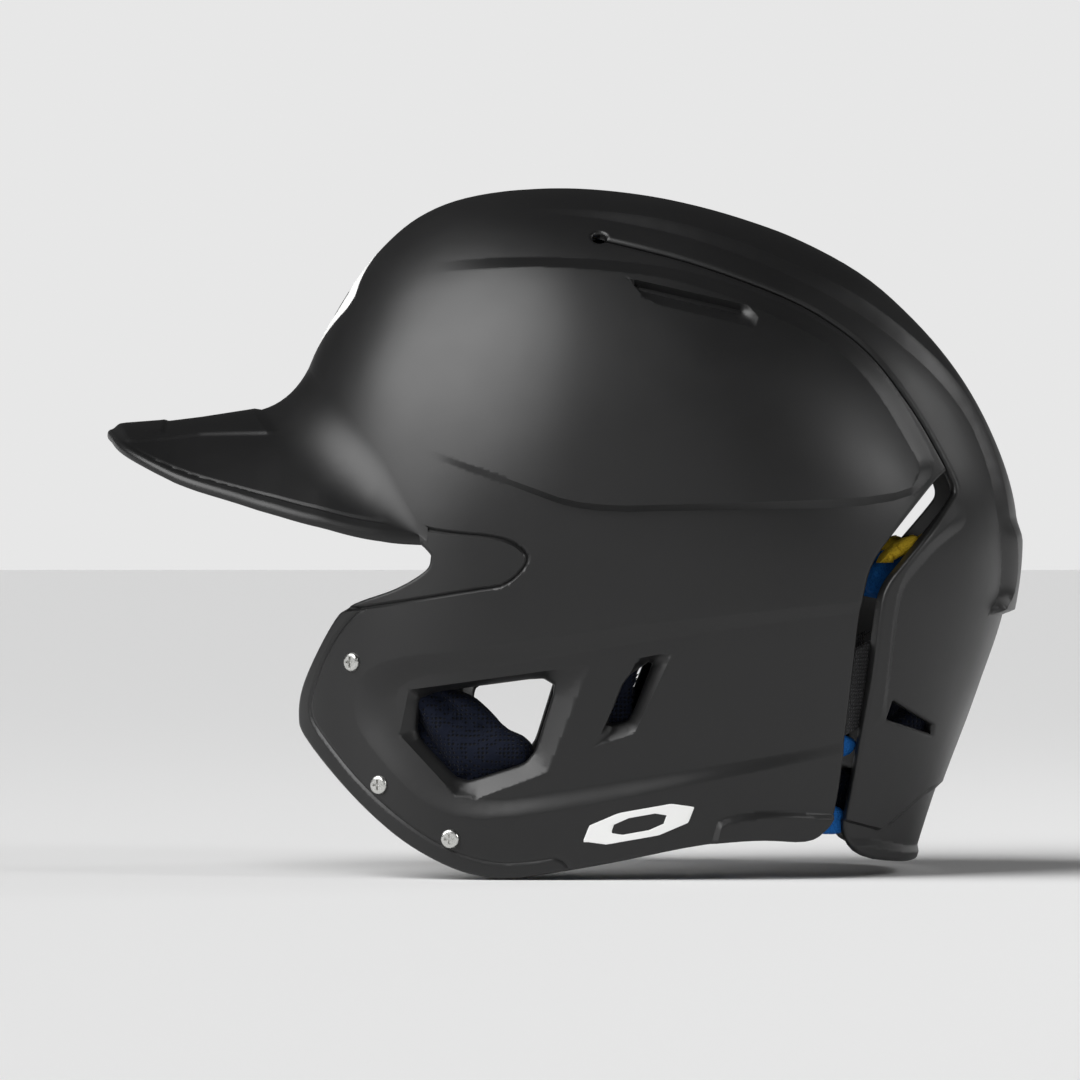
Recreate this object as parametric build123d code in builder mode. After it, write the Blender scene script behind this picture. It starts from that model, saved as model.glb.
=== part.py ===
from build123d import *
import math
import os

os.makedirs("parts", exist_ok=True)

# ---------------------------------------------------------------- driving dimensions, mm
WALL = 3.5                  # shell wall
PANEL_RISE = 1.2            # raised side panel
SPINE_RISE = 1.8            # raised centre spine
POCKET_DEPTH = 1.2          # dished area round the ear hole
VENT_DEPTH = 2.0            # blind vents on the crown
BILL_THICK = 3.5
BILL_HALF = 86              # half width of the bill at its root
BILL_ARCH_RADIUS = 105      # curve of the bill from side to side
BILL_SLOPE = 0.135          # rise of the bill towards the forehead
SPLIT_X = 12                # where the rear panel bends from the crown
SPLIT_GAP = 0.6             # clear gap between the two shells
FIRM = (3.8, 10.8)          # firm foam, depths under the outer skin
COMFORT = (11.1, 17.0)      # comfort foam, depths under the outer skin
PLATE = (3.8, 5.6)          # jaw pad plate, depths under the outer skin
STRAP = (3.8, 5.4)          # elastic strap, depths under the outer skin
CLAMP = (5.7, 8.2)          # plate that holds a strap end
EAR_FOAM = (3.8, 8.8)       # backing foam round the ear
EAR_CUSHION = (9.1, 15.0)   # fabric cushion round the ear
JAW_CUSHION = (9.0, 19.0)   # fabric cushion inside the jaw guard
NAPE_CUSHION = (3.8, 14.0)  # fabric cushion at the nape
DECAL = (-0.5, -0.05)       # printed emblems on the outer skin
SCREW_HEAD_R = 3.1
SCREW_HOLE_R = 2.1
SCREW_R = 2.0

# Outer skin as level sections: height, front x, back x, half width, corner power
SECTIONS = [
    (-12, -97, 113, 91.5, 2.6),
    (25, -97, 124.5, 93.5, 2.6),
    (60, -97, 137.5, 95.5, 2.55),
    (90, -97, 147.0, 97.0, 2.5),
    (120, -95.5, 148.2, 96.0, 2.4),
    (145, -91.5, 140.2, 91.5, 2.3),
    (165, -85.6, 128.8, 84.5, 2.25),
    (182, -77.6, 114.4, 75.5, 2.2),
    (196, -69, 98.3, 65.0, 2.2),
    (208, -59.2, 76.3, 52.0, 2.15),
    (217, -48.2, 51.8, 37.5, 2.1),
    (223, -34, 25.5, 22.5, 2.05),
    (225.8, -20.5, 8.5, 10.0, 2.0),
]
CORE_X = 27
CORE_Z = 60
LEFT = -1
RIGHT = 1


# ---------------------------------------------------------------- shared shapes
def section_point(section, turn, shrink_x, shrink_y):
    height, front, back, half_width, power = section
    along = math.copysign(abs(math.cos(turn)) ** (2 / power), math.cos(turn))
    across = math.copysign(abs(math.sin(turn)) ** (2 / power), math.sin(turn))
    x = (front + back) / 2 + (back - front) / 2 * along
    return (CORE_X + (x - CORE_X) * shrink_x, half_width * across * shrink_y)


def dome(depth):
    """Solid head form whose surface lies the given depth under the outer skin."""
    shrink_x = 1 - depth / 122
    shrink_y = 1 - depth / 97
    shrink_z = 1 - depth / 166
    with BuildPart() as form:
        for section in SECTIONS:
            height = CORE_Z + (section[0] - CORE_Z) * shrink_z
            turns = [2 * math.pi * i / 20 for i in range(20)]
            points = [section_point(section, turn, shrink_x, shrink_y) for turn in turns]
            with BuildSketch(Plane.XY.offset(height)):
                with BuildLine():
                    Spline(*points, periodic=True)
                make_face()
        loft()
    return form.part


def side_prism(runs, side, near=0, far=130):
    """Side-view outline (x, z) extruded across the helmet, from |y| = near to |y| = far on one side.
    A run of two points is a straight edge and a longer one is a smooth curve."""
    plane = Plane.XZ.offset(near) if side == LEFT else Plane.XZ.offset(-near)
    with BuildPart() as prism:
        with BuildSketch(plane):
            with BuildLine():
                for run, following in zip(runs, runs[1:] + runs[:1]):
                    if len(run) > 2:
                        Spline(*run)
                    elif len(run) == 2:
                        Line(*run)
                    if math.dist(run[-1], following[0]) > 0.01:
                        Line(run[-1], following[0])
            make_face()
        extrude(amount=(far - near) * -side)
    return prism.part


def corners(*points):
    """Runs for an outline made only of straight edges."""
    return [[point] for point in points]


def front_prism(runs, x_from, x_to):
    """Front-view outline (y, z) extruded along the helmet."""
    with BuildPart() as prism:
        with BuildSketch(Plane.YZ.offset(x_from)):
            with BuildLine():
                for run, following in zip(runs, runs[1:] + runs[:1]):
                    if len(run) > 2:
                        Spline(*run)
                    if math.dist(run[-1], following[0]) > 0.01:
                        Line(run[-1], following[0])
            make_face()
        extrude(amount=x_to - x_from)
    return prism.part


def top_prism(centre, radii):
    """Oval (x, y) standing up through the crown."""
    with BuildPart() as prism:
        with BuildSketch(Plane.XY.offset(150)):
            with Locations(centre):
                Ellipse(*radii)
        extrude(amount=100)
    return prism.part


def layer_piece(depths, cutter):
    """Piece of the layer between two depths that lies inside the cutter."""
    with BuildPart() as piece:
        add(cutter)
        add(DOME[depths[0]], mode=Mode.INTERSECT)
        add(DOME[depths[1]], mode=Mode.SUBTRACT)
    return piece.part


def on_skin(x, z, side):
    """Point on the outer skin at a side-view place, and the skin's outward direction there."""
    hits = DOME[0].find_intersection_points(Axis((x, 0, z), (0, side, 0)))
    return hits[-1] if abs(hits[-1][0].Y) > 1 and hits[-1][0].Y * side > 0 else hits[0]


LAYERS = [FIRM, COMFORT, PLATE, STRAP, CLAMP, EAR_FOAM, EAR_CUSHION, JAW_CUSHION, NAPE_CUSHION, DECAL]
DEPTHS = {0, -PANEL_RISE, -SPINE_RISE, POCKET_DEPTH, VENT_DEPTH, WALL, *sum(LAYERS, ())}
DOME = {depth: dome(depth) for depth in DEPTHS}

# ---------------------------------------------------------------- outlines shared by both shells
SLIT = [(SPLIT_X, 208.4), (15.7, 207.7), (44.4, 200.3), (77.1, 187.9), (93.5, 177.4), (103.3, 168.3),
        (116.3, 150.2), (126, 132.3)]
PANEL_TOP = [(-40.7, 200.6), (-24.3, 201.7), (11.7, 201.5), (44.3, 196.9), (77, 184.5), (93.4, 174.8),
             (106.4, 161.7), (117.7, 142), (122.6, 132.9)]
PANEL_BOTTOM = [(122.6, 131), (108.3, 120.4), (43.7, 119.4), (8.2, 118.4), (-14.4, 125.9), (-31.2, 132.1)]
SPINE_EDGE = [(-11.9, 217.4), (11.8, 215.3), (45.6, 207.9), (77.4, 194.7), (103.8, 180.1), (130.7, 155.6),
              (140.4, 132.5), (144.6, 102.8), (143.8, 89.6), (140, 84.7)]
POCKET = [[(92.4, 90), (24.3, 82), (-54.9, 73.7), (-71.4, 76.9)], [(-71.4, 76.9), (-58.2, 72.1)],
          [(-58.2, 72.1), (-63.1, 50.9)], [(-63.1, 50.9), (-40.3, 25.3)],
          [(-40.3, 25.3), (-27.3, 21.5), (-1.5, 22.8), (82.8, 37.5)]]
EAR_HOLE_OUTER = {LEFT: [(-54, 46.2), (-50.7, 60.2), (7.2, 68.4), (-6.3, 34.5), (-28.9, 26.3), (-35.4, 27.6)],
                  RIGHT: [(-36, 44.2), (-35, 61.5), (7.2, 68.4), (-6.3, 34.5), (-24, 27.5), (-29, 29)]}
EAR_HOLE_INNER = {LEFT: [(-51, 46.2), (-49.4, 59.5), (-2.4, 65.2), (-11.1, 37.7), (-32.2, 31.2), (-37, 32.4)],
                  RIGHT: [(-33, 44.2), (-32, 60), (-2.4, 65.2), (-11.1, 37.7), (-26, 33), (-29, 34)]}
SLOT_OUTER = [(24.7, 71.3), (34.3, 72.6), (22.1, 47.1), (10.2, 43.2)]
SLOT_INNER = [(19.5, 64.2), (29.2, 70.7), (21.1, 50.7), (13.7, 49.4)]
CROWN_VENT = [(20.4, 193.1), (58.9, 184.3), (62.7, 180.4), (61.4, 177), (31.1, 184.2), (25.6, 186.8)]
REAR_WINDOW = [(107.2, 56.4), (121.4, 47.9), (120.4, 45.6), (105.6, 50.2)]
SCREW_PLACES = {"upper": (-69.1, 69.7), "middle": (-60.2, 29.9), "lower": (-37, 12.7)}


def flared_hole(outer, inner, side):
    """Hole through the side wall that narrows from the outer outline to the inner one."""
    with BuildPart() as hole:
        for outline, offset in ((outer, 99), (inner, 88)):
            with BuildSketch(Plane.XZ.offset(-side * offset)):
                with BuildLine():
                    Polyline(*outline, close=True)
                make_face()
        loft(ruled=True)
        with BuildSketch(Plane.XZ.offset(-side * 50)):
            with BuildLine():
                Polyline(*inner, close=True)
            make_face()
        extrude(amount=38 * -side)
    return hole.part


# ---------------------------------------------------------------- front shell
FRONT_REAR_EDGE = [(124.6, 131.4), (120.8, 128.3), (110.6, 115.9), (99.6, 101.9), (96.3, 86.7), (93.2, 57.5),
                   (89.5, 28.3), (86.6, 15.2), (80, 11.1)]
HEM = [(80, 11.1), (63.3, 12.3), (43.8, 10.8), (11.5, 4.1)]
BROW = [(-46.8, 107.1), (-60, 117), (-77, 133), (-88, 147), (-110, 151)]
JAW_GUARD = [[(11.5, 4.1), (-14.4, 0.2), (-24.1, 0.1), (-37, 3.3), (-53.3, 12.2), (-69.7, 26.5), (-84.8, 44)],
             [(-84.8, 44), (-87.6, 52), (-85.5, 63.6), (-76.4, 81.7), (-69.7, 88.3)],
             [(-69.7, 88.3), (-54.9, 93.8), (-45.2, 99.7), (-43.5, 104.5), (-46.8, 107.1)]]
SHORT_FLAP = [[(11.5, 4.1), (-8, 2.6), (-24, 8), (-36, 22), (-44, 42), (-48, 66), (-49, 84)],
              [(-49, 84), (-48, 94), (-44, 101), (-46.8, 107.1)]]


def front_outline(lower_front):
    slit_lower = [(x - SPLIT_GAP * 0.45, z - SPLIT_GAP * 0.9) for x, z in SLIT]
    return [[(SPLIT_X - SPLIT_GAP, 240), (SPLIT_X - SPLIT_GAP, 208)], slit_lower, FRONT_REAR_EDGE, HEM,
            *lower_front, BROW, [(-110, 151), (-110, 240)]]


def bill_outline(half):
    return [(-152, 0), (-144.7, half * 45), (-128, half * 61), (-104.7, half * 74), (-78, half * 84),
            (-60, half * 85.5), (-45, half * 83)]


with BuildPart() as bill:
    with BuildSketch(Plane.YZ.offset(-160)):
        with BuildLine():
            top = 145
            side_top = top - BILL_ARCH_RADIUS + math.sqrt(BILL_ARCH_RADIUS**2 - BILL_HALF**2)
            ThreePointArc((-BILL_HALF, side_top), (0, top), (BILL_HALF, side_top))
            Line((BILL_HALF, side_top), (BILL_HALF, side_top - BILL_THICK))
            ThreePointArc((BILL_HALF, side_top - BILL_THICK), (0, top - BILL_THICK),
                          (-BILL_HALF, side_top - BILL_THICK))
            Line((-BILL_HALF, side_top - BILL_THICK), (-BILL_HALF, side_top))
        make_face()
    extrude(amount=130, dir=(1, 0, BILL_SLOPE))
    with BuildSketch(Plane.XY.offset(80)):
        with BuildLine():
            Spline(*reversed(bill_outline(-1)), *bill_outline(1)[1:])
            Line((-45, 83), (-45, -83))
        make_face()
    extrude(amount=100, mode=Mode.INTERSECT)
    add(DOME[WALL], mode=Mode.SUBTRACT)

relief_holes = []
for side in (LEFT, RIGHT):
    with BuildPart() as relief_hole:
        with BuildSketch(Plane.XY.offset(190)):
            with Locations((SPLIT_X, side * 51)):
                Circle(3)
        extrude(amount=40)
    relief_holes.append(relief_hole.part)


def drilled(x, z, side, radius, from_depth, to_depth):
    """Round bar square to the skin, between two distances under it."""
    point, outward = on_skin(x, z, side)
    with BuildPart() as bar:
        with BuildSketch(Plane(origin=point - outward * to_depth, z_dir=outward)):
            Circle(radius)
        extrude(amount=to_depth - from_depth)
    return bar.part


def depth_at(x, z, side, layer):
    """How far under the skin a layer's surface lies, measured square to the skin."""
    point, outward = on_skin(x, z, side)
    hits = DOME[layer].find_intersection_points(Axis(point, -outward))
    return min(abs((hit[0] - point).length) for hit in hits)


def save(part, label):
    part.label = label
    export_step(part, "parts/" + label + ".step")


SIDES = {"left": LEFT, "right": RIGHT}
front_left = side_prism(front_outline(JAW_GUARD), LEFT)
front_right = side_prism(front_outline(SHORT_FLAP), RIGHT)
panels = [layer_piece((-PANEL_RISE, WALL), side_prism([PANEL_TOP, PANEL_BOTTOM], side, near=20))
          for side in SIDES.values()]
pockets = [side_prism(POCKET, side, near=30) - DOME[POCKET_DEPTH] for side in SIDES.values()]
vents = [side_prism(corners(*CROWN_VENT), side, near=20) - DOME[VENT_DEPTH] for side in SIDES.values()]
ear_holes = [flared_hole(EAR_HOLE_OUTER[side], EAR_HOLE_INNER[side], side) for side in SIDES.values()]
slots = [flared_hole(SLOT_OUTER, SLOT_INNER, side) for side in SIDES.values()]
spine_start = corners(SPINE_EDGE[0], (SPLIT_X - SPLIT_GAP, 215.4), (SPLIT_X - SPLIT_GAP, 240), (-11.9, 240))
spine_front = layer_piece((-SPINE_RISE, WALL), side_prism(spine_start, LEFT, near=-60, far=60))
jaw_holes = [drilled(x, z, LEFT, SCREW_HOLE_R, -2, 12) for x, z in SCREW_PLACES.values()]
jaw_seats = [drilled(x, z, LEFT, SCREW_HEAD_R + 0.3, -4, 0.8) for x, z in SCREW_PLACES.values()]
STRAP_FRONT = (82.5, 52.5)
STRAP_REAR = (106.5, 67.5)
strap_pilots = {end: [drilled(*place, side, 1.6, 2.0, 6) for side in SIDES.values()]
                for end, place in (("front", STRAP_FRONT), ("rear", STRAP_REAR))}

with BuildPart() as front_shell:
    add(front_left)
    add(front_right)
    add(DOME[0], mode=Mode.INTERSECT)
    add(panels)
    add(spine_front)
    add(DOME[WALL], mode=Mode.SUBTRACT)
    add(pockets, mode=Mode.SUBTRACT)
    add(vents, mode=Mode.SUBTRACT)
    add(ear_holes, mode=Mode.SUBTRACT)
    add(slots, mode=Mode.SUBTRACT)
    add(relief_holes, mode=Mode.SUBTRACT)
    add(jaw_holes, mode=Mode.SUBTRACT)
    add(jaw_seats, mode=Mode.SUBTRACT)
    add(strap_pilots["front"], mode=Mode.SUBTRACT)
    add(bill.part)
save(front_shell.part, "front_shell")

# ---------------------------------------------------------------- rear shell with the spine
REAR_EDGE = [(126, 132.3), (128.7, 126.4), (126.9, 122.5), (110.6, 102.9), (103.6, 94.8), (101.6, 86.7),
             (98.5, 57.5), (93.8, 28.2), (91.2, 15.1), (95.7, 5.8), (112, 3.2), (130, 2.2), (160, 2)]
TAIL_STEP = [(88, 18.7), (103.3, 14.1), (111.5, 23.4), (125, 27.8), (160, 28), (160, -10), (88, -10)]

rear_body = side_prism([[(SPLIT_X, 240), (SPLIT_X, 208.4)], SLIT, *corners(*REAR_EDGE), [(160, 240)]],
                       LEFT, near=-130)
spine_line = [(SPLIT_X, 215.3), *SPINE_EDGE[2:]]
spine_rear = layer_piece((-SPINE_RISE, WALL), side_prism([spine_line, *corners((165, 84.7), (165, 240),
                                                                               (SPLIT_X, 240))],
                                                         LEFT, near=-130))
tail_step = side_prism(corners(*TAIL_STEP), LEFT, near=-130) - DOME[POCKET_DEPTH]
window = side_prism(corners(*REAR_WINDOW), LEFT, near=-130)

with BuildPart() as rear_shell:
    add(rear_body)
    add(DOME[0], mode=Mode.INTERSECT)
    add(spine_rear)
    add(DOME[WALL], mode=Mode.SUBTRACT)
    add(tail_step, mode=Mode.SUBTRACT)
    add(window, mode=Mode.SUBTRACT)
    add(relief_holes, mode=Mode.SUBTRACT)
    add(strap_pilots["rear"], mode=Mode.SUBTRACT)
save(rear_shell.part, "rear_shell")

# ---------------------------------------------------------------- jaw guard hardware and pad
JAW_PLATE = [[(-66, 86), (-73, 79), (-81, 63), (-82.5, 53), (-80, 46)],
             [(-80, 46), (-66, 31), (-50, 17), (-35, 8), (-24, 5)],
             [(-24, 16), (-34, 19), (-48, 29), (-58, 42), (-60, 62), (-54, 84)]]
JAW_PAD = [[(-58, 84), (-70, 77), (-77, 63), (-78, 51)],
           [(-78, 51), (-64, 33), (-48, 19), (-30, 11), (-14, 9)],
           [(-14, 9), (-9.5, 20), (-9.5, 42)],
           [(-9.5, 42), (-13, 46), (-19, 48), (-24, 54), (-31, 60), (-45, 63)],
           [(-45, 63), (-47, 70), (-48, 78)]]

jaw_plate_blank = layer_piece(PLATE, side_prism(JAW_PLATE, LEFT, near=30))
with BuildPart() as jaw_pad_plate:
    add(jaw_plate_blank)
    add(jaw_holes, mode=Mode.SUBTRACT)
save(jaw_pad_plate.part, "jaw_pad_plate")

for name, (x, z) in SCREW_PLACES.items():
    under_plate = depth_at(x, z, LEFT, PLATE[1]) + 0.2
    head = drilled(x, z, LEFT, SCREW_HEAD_R, -1.2, 0.78)
    shank = drilled(x, z, LEFT, SCREW_R, 0.7, under_plate + 2.6)
    point, outward = on_skin(x, z, LEFT)
    with BuildPart() as jaw_screw:
        add(head)
        fillet(jaw_screw.edges().sort_by(Axis(point, outward))[-1], 1.1)
        add(shank)
        with BuildSketch(Plane(origin=point + outward * 1.3, z_dir=outward)):
            Rectangle(3.4, 0.8)
            Rectangle(0.8, 3.4)
        extrude(amount=-1.1, mode=Mode.SUBTRACT)
    save(jaw_screw.part, "jaw_screw_" + name)

    with BuildPart() as jaw_nut:
        with BuildSketch(Plane(origin=point - outward * under_plate, z_dir=-outward)):
            RegularPolygon(radius=3.6, side_count=6)
            Circle(SCREW_R + 0.02, mode=Mode.SUBTRACT)
        extrude(amount=2.4)
    save(jaw_nut.part, "jaw_nut_" + name)

save(layer_piece(JAW_CUSHION, side_prism(JAW_PAD, LEFT, near=30)), "jaw_pad")

# ---------------------------------------------------------------- head pads
FOREHEAD_FIRM = [[(-56, 141), (0, 158), (56, 141)], [(58, 175), (0, 188), (-58, 175)]]
FOREHEAD_COMFORT = [[(-52, 145), (0, 161), (52, 145)], [(54, 172), (0, 184), (-54, 172)]]
SIDE_FIRM = [[(-30, 114), (-31, 134), (-24, 155)], [(-24, 155), (10, 166), (50, 165), (78, 156)],
             [(78, 156), (91, 142), (96, 126), (94, 110)],
             [(94, 110), (78, 99), (40, 97), (-10, 100), (-30, 114)]]
SIDE_COMFORT = [[(-26, 117), (-27, 134), (-20, 151)], [(-20, 151), (12, 162), (50, 161), (75, 152)],
                [(75, 152), (87, 139), (91, 126), (90, 113)],
                [(90, 113), (76, 103), (40, 101), (-8, 104), (-26, 117)]]
REAR_FIRM = [(101, 98), (101, 103.3), (110.6, 110.4), (116, 110), (128, 124), (131, 134), (124, 147),
             (160, 149), (160, 86), (108, 85)]
REAR_COMFORT = [(106, 99), (113, 107), (120, 110), (131, 124), (134, 134), (128, 144), (160, 146), (160, 89),
                (110, 88)]
NAPE = [(104, 28), (104, 49), (112, 53.5), (114, 60), (118, 72), (160, 73), (160, 19), (112, 18)]
EAR_PAD = [[(-46, 90), (0, 91), (74, 92)], [(74, 92), (73, 66), (73, 36)], [(95, 36), (93, 18)],
           [(80, 15), (40, 15), (-10, 12)]]
EAR_OPENING = (-6, 50)
EAR_OPENING_RADII = (46, 28)

save(layer_piece(FIRM, front_prism(FOREHEAD_FIRM, -120, -30)), "forehead_pad_firm")
save(layer_piece(COMFORT, front_prism(FOREHEAD_COMFORT, -120, -30)), "forehead_pad_comfort")
save(layer_piece(FIRM, top_prism((0, 0), (50, 34))), "crown_pad_firm")
save(layer_piece(COMFORT, top_prism((0, 0), (44, 29))), "crown_pad_comfort")
save(layer_piece(NAPE_CUSHION, side_prism(corners(*NAPE), LEFT, near=-130)), "nape_pad")

for name, side in SIDES.items():
    save(layer_piece(FIRM, side_prism(SIDE_FIRM, side, near=30)), "side_pad_" + name + "_firm")
    save(layer_piece(COMFORT, side_prism(SIDE_COMFORT, side, near=30)), "side_pad_" + name + "_comfort")
    rear_firm = layer_piece(FIRM, side_prism(corners(*REAR_FIRM), side, near=4))
    rear_comfort = layer_piece(COMFORT, side_prism(corners(*REAR_COMFORT), side, near=8))
    save(rear_firm, "rear_pad_" + name + "_firm")
    save(rear_comfort, "rear_pad_" + name + "_comfort")

    with BuildPart() as ear_opening:
        with BuildSketch(Plane.XZ.offset(-side * 20)):
            with Locations(EAR_OPENING):
                Ellipse(*EAR_OPENING_RADII)
            with Locations((EAR_OPENING[0] - 30, EAR_OPENING[1] - 20)):
                Rectangle(56, 52)
        extrude(amount=110 * -side)
    ear_blank = side_prism(EAR_PAD, side, near=30) - ear_opening.part
    save(layer_piece(EAR_FOAM, ear_blank), "ear_foam_" + name)
    save(layer_piece(EAR_CUSHION, ear_blank), "ear_pad_" + name)

# ---------------------------------------------------------------- elastic straps across the split
STRAP_BAND = [(78.5, 38.5), (111, 58), (111, 84), (78.5, 64.5)]
CLAMP_PLATES = {"front": [(79.5, 40.5), (86, 44.4), (86, 66.5), (79.5, 62.6)],
                "rear": [(103, 55), (110, 59.2), (110, 81), (103, 76.8)]}
for name, side in SIDES.items():
    shanks = {end: drilled(*place, side, 1.6, 3, 14)
              for end, place in (("front", STRAP_FRONT), ("rear", STRAP_REAR))}
    strap_blank = layer_piece(STRAP, side_prism(corners(*STRAP_BAND), side, near=30))
    with BuildPart() as strap:
        add(strap_blank)
        add(shanks.values(), mode=Mode.SUBTRACT)
    save(strap.part, "strap_" + name)

    for end, place in (("front", STRAP_FRONT), ("rear", STRAP_REAR)):
        clamp_blank = layer_piece(CLAMP, side_prism(corners(*CLAMP_PLATES[end]), side, near=30))
        with BuildPart() as clamp:
            add(clamp_blank)
            add(shanks[end], mode=Mode.SUBTRACT)
        save(clamp.part, "strap_clamp_" + name + "_" + end)

        inside = depth_at(*place, side, CLAMP[1]) + 0.1
        shank = drilled(*place, side, 1.5, 2.3, inside + 0.5)
        head = drilled(*place, side, 2.8, inside, inside + 1.6)
        with BuildPart() as clamp_screw:
            add(shank)
            add(head)
        save(clamp_screw.part, "strap_screw_" + name + "_" + end)

# ---------------------------------------------------------------- plain emblems
with BuildPart() as diamond:
    with BuildSketch(Plane.YZ.offset(-120)):
        with Locations((0, 188)):
            Polygon((0, -20), (26, 0), (0, 20), (-26, 0), align=None)
            Polygon((0, -11.5), (15, 0), (0, 11.5), (-15, 0), align=None, mode=Mode.SUBTRACT)
    extrude(amount=100)
save(layer_piece(DECAL, diamond.part), "forehead_emblem")

with BuildPart() as slanted_frame:
    with BuildSketch(Plane.XZ.offset(60)):
        with Locations((24, 17.6)):
            Polygon((-19, -6.5), (6, -4.5), (19, 6.5), (-6, 4.5), align=None)
            Polygon((-9.5, -3), (3, -2), (9.5, 3), (-3, 2), align=None, mode=Mode.SUBTRACT)
    extrude(amount=60)
save(layer_piece(DECAL, slanted_frame.part), "flap_emblem")
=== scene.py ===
import math

import bpy
import numpy as np
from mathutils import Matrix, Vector


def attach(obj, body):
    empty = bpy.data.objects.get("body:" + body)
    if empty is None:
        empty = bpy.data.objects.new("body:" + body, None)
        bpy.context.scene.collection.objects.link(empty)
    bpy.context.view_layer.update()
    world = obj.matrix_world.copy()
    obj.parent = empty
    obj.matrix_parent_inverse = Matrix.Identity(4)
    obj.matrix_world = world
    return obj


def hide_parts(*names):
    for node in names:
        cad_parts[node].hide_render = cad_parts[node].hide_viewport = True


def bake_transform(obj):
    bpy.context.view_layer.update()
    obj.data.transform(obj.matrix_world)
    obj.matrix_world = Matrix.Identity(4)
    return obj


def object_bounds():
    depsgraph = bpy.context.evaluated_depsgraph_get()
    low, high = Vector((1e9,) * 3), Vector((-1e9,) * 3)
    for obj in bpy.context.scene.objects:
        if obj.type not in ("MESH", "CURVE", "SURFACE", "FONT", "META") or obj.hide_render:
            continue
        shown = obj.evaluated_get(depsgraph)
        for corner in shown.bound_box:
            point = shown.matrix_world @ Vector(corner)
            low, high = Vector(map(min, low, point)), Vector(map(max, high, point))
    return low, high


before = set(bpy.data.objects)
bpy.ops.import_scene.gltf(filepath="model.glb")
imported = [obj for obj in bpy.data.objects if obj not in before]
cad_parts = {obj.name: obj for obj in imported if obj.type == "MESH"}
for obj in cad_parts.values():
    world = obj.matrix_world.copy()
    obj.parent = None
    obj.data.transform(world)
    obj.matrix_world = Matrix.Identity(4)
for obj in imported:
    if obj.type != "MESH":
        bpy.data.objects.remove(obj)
cad_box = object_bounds()

# Shapes are in mm, in the frame's axes: +X to the back of the helmet, -Y to the wearer's left, +Z up.
# A field gives each place on the skin its distance to a shape's edge, in mm, negative inside.
MM = 0.001
WALL = 3.5
LEFT = -1
RIGHT = 1
FAR = 50.0            # value of a field at places that its shape doesn't reach
CROWN_Z = 150         # outlines seen from above hold only over this height


# ---------------------------------------------------------------- outer skin of the shell
# height, front x, back x, half width, corner power of each level section, in mm
LEVELS = np.array([
    (-12, -97, 113, 91.5, 2.6), (25, -97, 124.5, 93.5, 2.6), (60, -97, 137.5, 95.5, 2.55),
    (90, -97, 147, 97, 2.5), (120, -95.5, 148.2, 96, 2.4), (145, -91.5, 140.2, 91.5, 2.3),
    (165, -85.6, 128.8, 84.5, 2.25), (182, -77.6, 114.4, 75.5, 2.2), (196, -69, 98.3, 65, 2.2),
    (208, -59.2, 76.3, 52, 2.15), (217, -48.2, 51.8, 37.5, 2.1), (223, -34, 25.5, 22.5, 2.05)])
# the crown's top, and the same sections again past it, so that the curve is level there
PAST_TOP = np.array([
    (226.4, -6, -6, 0, 2.0), (223, 25.5, -34, -22.5, 2.05), (217, 51.8, -48.2, -37.5, 2.1)])
CHORD = (1, 0.5, 0.5, 0.5)      # weight of height, front, back and width in the length along the sections
GIRTH = 680                     # the skin's girth, roughly, which sets how many columns its grid has


def hermite(t, h, a, b, slope_a, slope_b):
    """Cubic from a to b over a step of length h, t being 0 at a and 1 at b."""
    return ((2 * t**3 - 3 * t**2 + 1) * a + (t**3 - 2 * t**2 + t) * h * slope_a
            + (3 * t**2 - 2 * t**3) * b + (t**3 - t**2) * h * slope_b)


def length_along(sections):
    """Length from the first section to each one."""
    steps = np.linalg.norm(np.diff(sections[:, :4], axis=0) * CHORD, axis=1)
    return np.concatenate([[0], np.cumsum(steps)])


def smooth_table(knots, steps):
    """Cubic curve through the sections, from the first one to the crown's top."""
    at = length_along(knots)
    gap = np.diff(at)[:, None]
    rise = np.diff(knots, axis=0) / gap
    inner = (rise[:-1] * gap[1:] + rise[1:] * gap[:-1]) / (gap[1:] + gap[:-1])
    slope = np.vstack([rise[:1], inner, rise[-1:]])
    q = np.linspace(0, at[len(LEVELS)], steps)
    k = np.clip(np.searchsorted(at, q, side="right") - 1, 0, len(at) - 2)
    t = ((q - at[k])[:, None]) / gap[k]
    return hermite(t, gap[k], knots[k], knots[k + 1], slope[k], slope[k + 1])


TABLE = smooth_table(np.vstack([LEVELS, PAST_TOP]), 3001)


def section(z):
    """Front x, back x, half width and corner power of the level section at a height."""
    return [np.interp(z, TABLE[:, 0], TABLE[:, j]) for j in range(1, 5)]


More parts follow.
